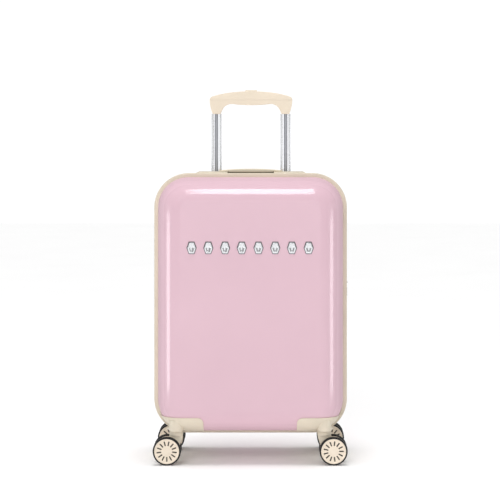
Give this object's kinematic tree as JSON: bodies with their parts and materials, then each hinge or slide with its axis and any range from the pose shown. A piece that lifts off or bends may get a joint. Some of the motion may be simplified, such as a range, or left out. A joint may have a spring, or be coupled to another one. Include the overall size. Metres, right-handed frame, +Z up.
{
  "type": "hard shell cabin suitcase",
  "caption": "Two-part hard shell cabin case with trim rings, telescopic handle, carry handle, combination lock, zip and swivelling twin-wheel casters.",
  "frame": {"origin": "on the floor, under the middle of the case", "axes": "+Z up, -Y towards the lid's face, +X towards the lock side"},
  "size_m": [0.3522, 0.1996, 0.6705],
  "materials": {
    "shell_pink": "high gloss",
    "trim_cream": "satin",
    "grip_cream": "satin, soft touch",
    "button_cream": "satin",
    "caster_cream": "satin",
    "hub_cream": "satin",
    "tyre_black": "matt, smooth tread",
    "steel": "satin",
    "tube_metal": "polished",
    "zip_tape": "woven tape",
    "zip_metal": "polished",
    "lining_cloth": "woven",
    "mesh_cloth": "open mesh",
    "strap_web": "webbing",
    "badge_chrome": "polished",
    "bracket_plastic": "matt",
    "lock_case": "satin",
    "lock_dial": "satin",
    "key_brass": "satin"
  },
  "bodies": {
    "root": {"back_shell": "shell_pink", "back_trim": "trim_cream", "hinge_band": "zip_tape", "back_zip": "zip_tape", "back_lining": "lining_cloth", "cross_straps": "strap_web", "rear_corner_guards": "trim_cream", "rear_screws": "steel", "trolley_base": "bracket_plastic", "outer_tubes": "tube_metal", "top_bezel": "trim_cream", "lock_housing": "lock_case"},
    "lid": {"front_shell": "shell_pink", "front_trim": "trim_cream", "front_zip": "zip_tape", "front_lining": "lining_cloth", "divider_panel": "mesh_cloth", "badge_row": "badge_chrome", "front_corner_guards": "trim_cream", "front_screws": "steel"},
    "trolley_middle": {"middle_tubes": "tube_metal"},
    "trolley_grip": {"inner_tubes": "tube_metal", "grip_body": "grip_cream", "grip_cover": "grip_cream"},
    "grip_button": {"release_button": "button_cream", "release_rods": "steel"},
    "carry_handle": {"carry_handle": "grip_cream"},
    "lock_dial_1": {"lock_dial_1": "lock_dial"},
    "lock_dial_2": {"lock_dial_2": "lock_dial"},
    "lock_dial_3": {"lock_dial_3": "lock_dial"},
    "lock_slide": {"lock_slide": "lock_case"},
    "lock_key_plug": {"lock_key_plug": "key_brass"},
    "upper_zip_slider": {"upper_zip_slider": "zip_metal"},
    "lower_zip_slider": {"lower_zip_slider": "zip_metal"},
    "upper_zip_puller": {"upper_zip_puller": "zip_metal"},
    "lower_zip_puller": {"lower_zip_puller": "zip_metal"},
    "fl_swivel": {"fl_fork": "caster_cream", "fl_axle": "steel"},
    "fl_outer_wheel": {"fl_outer_hub": "hub_cream", "fl_outer_tyre": "tyre_black"},
    "fl_inner_wheel": {"fl_inner_hub": "hub_cream", "fl_inner_tyre": "tyre_black"},
    "fr_swivel": {"fr_fork": "caster_cream", "fr_axle": "steel"},
    "fr_outer_wheel": {"fr_outer_hub": "hub_cream", "fr_outer_tyre": "tyre_black"},
    "fr_inner_wheel": {"fr_inner_hub": "hub_cream", "fr_inner_tyre": "tyre_black"},
    "rl_swivel": {"rl_fork": "caster_cream", "rl_axle": "steel"},
    "rl_outer_wheel": {"rl_outer_hub": "hub_cream", "rl_outer_tyre": "tyre_black"},
    "rl_inner_wheel": {"rl_inner_hub": "hub_cream", "rl_inner_tyre": "tyre_black"},
    "rr_swivel": {"rr_fork": "caster_cream", "rr_axle": "steel"},
    "rr_outer_wheel": {"rr_outer_hub": "hub_cream", "rr_outer_tyre": "tyre_black"},
    "rr_inner_wheel": {"rr_inner_hub": "hub_cream", "rr_inner_tyre": "tyre_black"}
  },
  "joints": [
    {"name": "lid_hinge", "type": "hinge", "parent": "root", "child": "lid", "pos_m": [-0.178, -0.008, 0.2815], "axis": [0, 0, -1], "range_deg": [0, 180], "deforming": ["hinge_band"]},
    {"name": "trolley_mid_slide", "type": "slide", "parent": "root", "child": "trolley_middle", "axis": [0, 0, 1], "range_m": [0, 0.235]},
    {"name": "trolley_grip_slide", "type": "slide", "parent": "trolley_middle", "child": "trolley_grip", "axis": [0, 0, 1], "range_m": [-0.12, 0.115]},
    {"name": "release_press", "type": "slide", "parent": "trolley_grip", "child": "grip_button", "axis": [0, 0, -1], "range_m": [0, 0.0034], "stiffness_N_per_m": 500, "springref_m": -0.003},
    {"name": "carry_handle_lift", "type": "slide", "parent": "root", "child": "carry_handle", "axis": [0, 0, 1], "range_m": [0, 0.014], "stiffness_N_per_m": 120, "springref_m": -0.003},
    {"name": "lock_slide_press", "type": "slide", "parent": "root", "child": "lock_slide", "axis": [0, 0, -1], "range_m": [0, 0.003], "stiffness_N_per_m": 200, "springref_m": -0.002},
    {"name": "key_turn", "type": "hinge", "parent": "root", "child": "lock_key_plug", "pos_m": [0.17, 0.015, 0.285], "axis": [1, 0, 0], "range_deg": [0, 90]},
    {"name": "upper_zip_run", "type": "slide", "parent": "root", "child": "upper_zip_slider", "axis": [0, 0, 1], "range_m": [0, 0.12]},
    {"name": "lower_zip_run", "type": "slide", "parent": "root", "child": "lower_zip_slider", "axis": [0, 0, 1], "range_m": [-0.145, 0]},
    {"name": "upper_puller_swing", "type": "hinge", "parent": "upper_zip_slider", "child": "upper_zip_puller", "pos_m": [0.1742, -0.008, 0.33], "axis": [0, -1, 0], "range_deg": [0, 150]},
    {"name": "lower_puller_swing", "type": "hinge", "parent": "lower_zip_slider", "child": "lower_zip_puller", "pos_m": [0.1742, -0.008, 0.27], "axis": [0, -1, 0], "range_deg": [0, 150]},
    {"name": "dial_1_turn", "type": "hinge", "parent": "root", "child": "lock_dial_1", "pos_m": [0.1714, 0.015, 0.2935], "axis": [0, 0, 1], "continuous": true},
    {"name": "dial_2_turn", "type": "hinge", "parent": "root", "child": "lock_dial_2", "pos_m": [0.1714, 0.015, 0.2991], "axis": [0, 0, 1], "continuous": true},
    {"name": "dial_3_turn", "type": "hinge", "parent": "root", "child": "lock_dial_3", "pos_m": [0.1714, 0.015, 0.3047], "axis": [0, 0, 1], "continuous": true},
    {"name": "fl_swivel_turn", "type": "hinge", "parent": "lid", "child": "fl_swivel", "pos_m": [-0.132, -0.072, 0.06], "axis": [0, 0, 1], "continuous": true},
    {"name": "fl_outer_spin", "type": "hinge", "parent": "fl_swivel", "child": "fl_outer_wheel", "pos_m": [-0.148, -0.072, 0.025], "axis": [0, 1, 0], "continuous": true},
    {"name": "fl_inner_spin", "type": "hinge", "parent": "fl_swivel", "child": "fl_inner_wheel", "pos_m": [-0.148, -0.072, 0.025], "axis": [0, 1, 0], "continuous": true},
    {"name": "fr_swivel_turn", "type": "hinge", "parent": "lid", "child": "fr_swivel", "pos_m": [0.132, -0.072, 0.06], "axis": [0, 0, 1], "continuous": true},
    {"name": "fr_outer_spin", "type": "hinge", "parent": "fr_swivel", "child": "fr_outer_wheel", "pos_m": [0.148, -0.072, 0.025], "axis": [0, 1, 0], "continuous": true},
    {"name": "fr_inner_spin", "type": "hinge", "parent": "fr_swivel", "child": "fr_inner_wheel", "pos_m": [0.148, -0.072, 0.025], "axis": [0, 1, 0], "continuous": true},
    {"name": "rl_swivel_turn", "type": "hinge", "parent": "root", "child": "rl_swivel", "pos_m": [-0.132, 0.072, 0.06], "axis": [0, 0, 1], "continuous": true},
    {"name": "rl_outer_spin", "type": "hinge", "parent": "rl_swivel", "child": "rl_outer_wheel", "pos_m": [-0.148, 0.072, 0.025], "axis": [0, 1, 0], "continuous": true},
    {"name": "rl_inner_spin", "type": "hinge", "parent": "rl_swivel", "child": "rl_inner_wheel", "pos_m": [-0.148, 0.072, 0.025], "axis": [0, 1, 0], "continuous": true},
    {"name": "rr_swivel_turn", "type": "hinge", "parent": "root", "child": "rr_swivel", "pos_m": [0.132, 0.072, 0.06], "axis": [0, 0, 1], "continuous": true},
    {"name": "rr_outer_spin", "type": "hinge", "parent": "rr_swivel", "child": "rr_outer_wheel", "pos_m": [0.148, 0.072, 0.025], "axis": [0, 1, 0], "continuous": true},
    {"name": "rr_inner_spin", "type": "hinge", "parent": "rr_swivel", "child": "rr_inner_wheel", "pos_m": [0.148, 0.072, 0.025], "axis": [0, 1, 0], "continuous": true}
  ]
}
